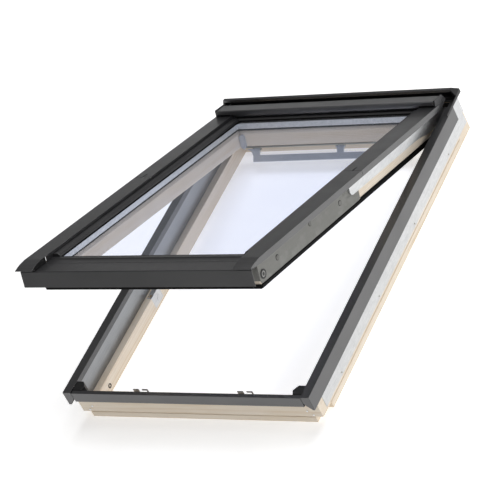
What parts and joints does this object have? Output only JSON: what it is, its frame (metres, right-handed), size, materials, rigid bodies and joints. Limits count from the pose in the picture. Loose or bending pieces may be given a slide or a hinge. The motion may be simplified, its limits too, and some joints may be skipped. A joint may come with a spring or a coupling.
{
  "type": "roof window",
  "caption": "Top-hung timber roof window with metal cladding, shown open: the sash swings up on side arms and also turns about its middle for cleaning.",
  "frame": {"origin": "centre of the frame's room face, midway between the outer side claddings and midway between bottom cladding and top hood", "axes": "+X across the window to the right seen from outside, +Y up the roof slope towards the hinge, +Z out of the roof"},
  "size_m": [0.78, 1.18, 0.5207],
  "materials": {
    "pine": "clear satin lacquer",
    "grey_cladding": "grey powder coat",
    "dark_cover": "dark grey powder coat",
    "galvanised_steel": "zinc plated, fine brushed",
    "grey_steel": "grey coated",
    "light_aluminium": "satin anodised",
    "black_plastic": "fine matt",
    "black_rubber": "matt",
    "clear_glass": "clear, faint blue tint"
  },
  "bodies": {
    "frame": {"frame_jamb_left": "pine", "frame_jamb_right": "pine", "frame_rail_top": "pine", "frame_rail_bottom": "pine", "jamb_liners": "light_aluminium", "side_cladding_left": "grey_cladding", "side_cladding_right": "grey_cladding", "bottom_cladding": "grey_cladding", "corner_blocks": "black_plastic", "top_hood": "dark_cover", "hood_ends": "black_plastic", "side_rail_left": "galvanised_steel", "side_rail_right": "galvanised_steel", "top_corner_plates": "galvanised_steel", "hinge_brackets": "dark_cover", "stud_clips": "galvanised_steel", "arm_catches": "galvanised_steel", "cleaning_bush": "black_plastic", "strike_plates": "galvanised_steel", "corner_screws": "galvanised_steel"},
    "lift_arms": {"lift_arm_left": "galvanised_steel", "lift_arm_right": "galvanised_steel", "upper_cover_left": "dark_cover", "upper_cover_right": "dark_cover", "top_cover": "dark_cover", "top_cover_ends": "dark_cover", "pivot_pins": "galvanised_steel"},
    "sash": {"sash_stile_left": "pine", "sash_stile_right": "pine", "sash_rail_top": "pine", "sash_rail_bottom": "pine", "outer_pane": "clear_glass", "inner_pane": "clear_glass", "glass_spacer": "light_aluminium", "edge_seal": "black_rubber", "bed_seal": "black_rubber", "side_bead_left": "dark_cover", "side_bead_right": "dark_cover", "top_bead": "dark_cover", "lower_cover_left": "dark_cover", "lower_cover_right": "dark_cover", "bottom_cover": "dark_cover", "side_plate_left": "grey_steel", "side_plate_right": "grey_steel", "sash_seal_left": "black_rubber", "sash_seal_right": "black_rubber", "sash_seal_ends": "black_rubber", "pivot_brackets": "grey_steel", "side_screws": "galvanised_steel", "side_bushes": "black_plastic", "bar_channel": "light_aluminium", "bar_lugs": "light_aluminium", "barrel_housing": "light_aluminium", "handle_base": "light_aluminium"},
    "control_bar": {"control_bar": "light_aluminium", "bar_arms": "light_aluminium"},
    "vent_flap": {"vent_flap": "dark_cover"},
    "handle": {"handle": "light_aluminium"},
    "locking_bar": {"locking_bar": "galvanised_steel"},
    "barrel_bolt": {"barrel_bolt": "galvanised_steel"}
  },
  "joints": [
    {"name": "top_hinge", "type": "hinge", "parent": "frame", "child": "lift_arms", "pos_m": [0, 0.52, 0.1], "axis": [-1, 0, 0], "range_deg": [-20.3, 24.7]},
    {"name": "sash_pivot", "type": "hinge", "parent": "lift_arms", "child": "sash", "pos_m": [0, 0.06507, 0.3056], "axis": [-1, 0, 0], "range_deg": [0, 130]},
    {"name": "control_bar_hinge", "type": "hinge", "parent": "sash", "child": "control_bar", "pos_m": [0, 0.44489, 0.06125], "axis": [1, 0, 0], "range_deg": [0, 40]},
    {"name": "vent_flap_hinge", "type": "hinge", "parent": "sash", "child": "vent_flap", "pos_m": [0, 0.48998, 0.13414], "axis": [1, 0, 0], "range_deg": [0, 30]},
    {"name": "handle_hinge", "type": "hinge", "parent": "sash", "child": "handle", "pos_m": [0, -0.43264, 0.42147], "axis": [-1, 0, 0], "range_deg": [0, 40]},
    {"name": "locking_bar_slide", "type": "slide", "parent": "sash", "child": "locking_bar", "axis": [1, 0, 0], "range_m": [0, 0.014]},
    {"name": "barrel_bolt_slide", "type": "slide", "parent": "sash", "child": "barrel_bolt", "axis": [0, -0.3469, -0.9379], "range_m": [0, 0.012]}
  ],
  "couplings": [
    {"joint": "vent_flap_hinge", "follows": "control_bar_hinge", "ratio": 0.75},
    {"joint": "locking_bar_slide", "follows": "handle_hinge", "m_per_rad": 0.02}
  ]
}
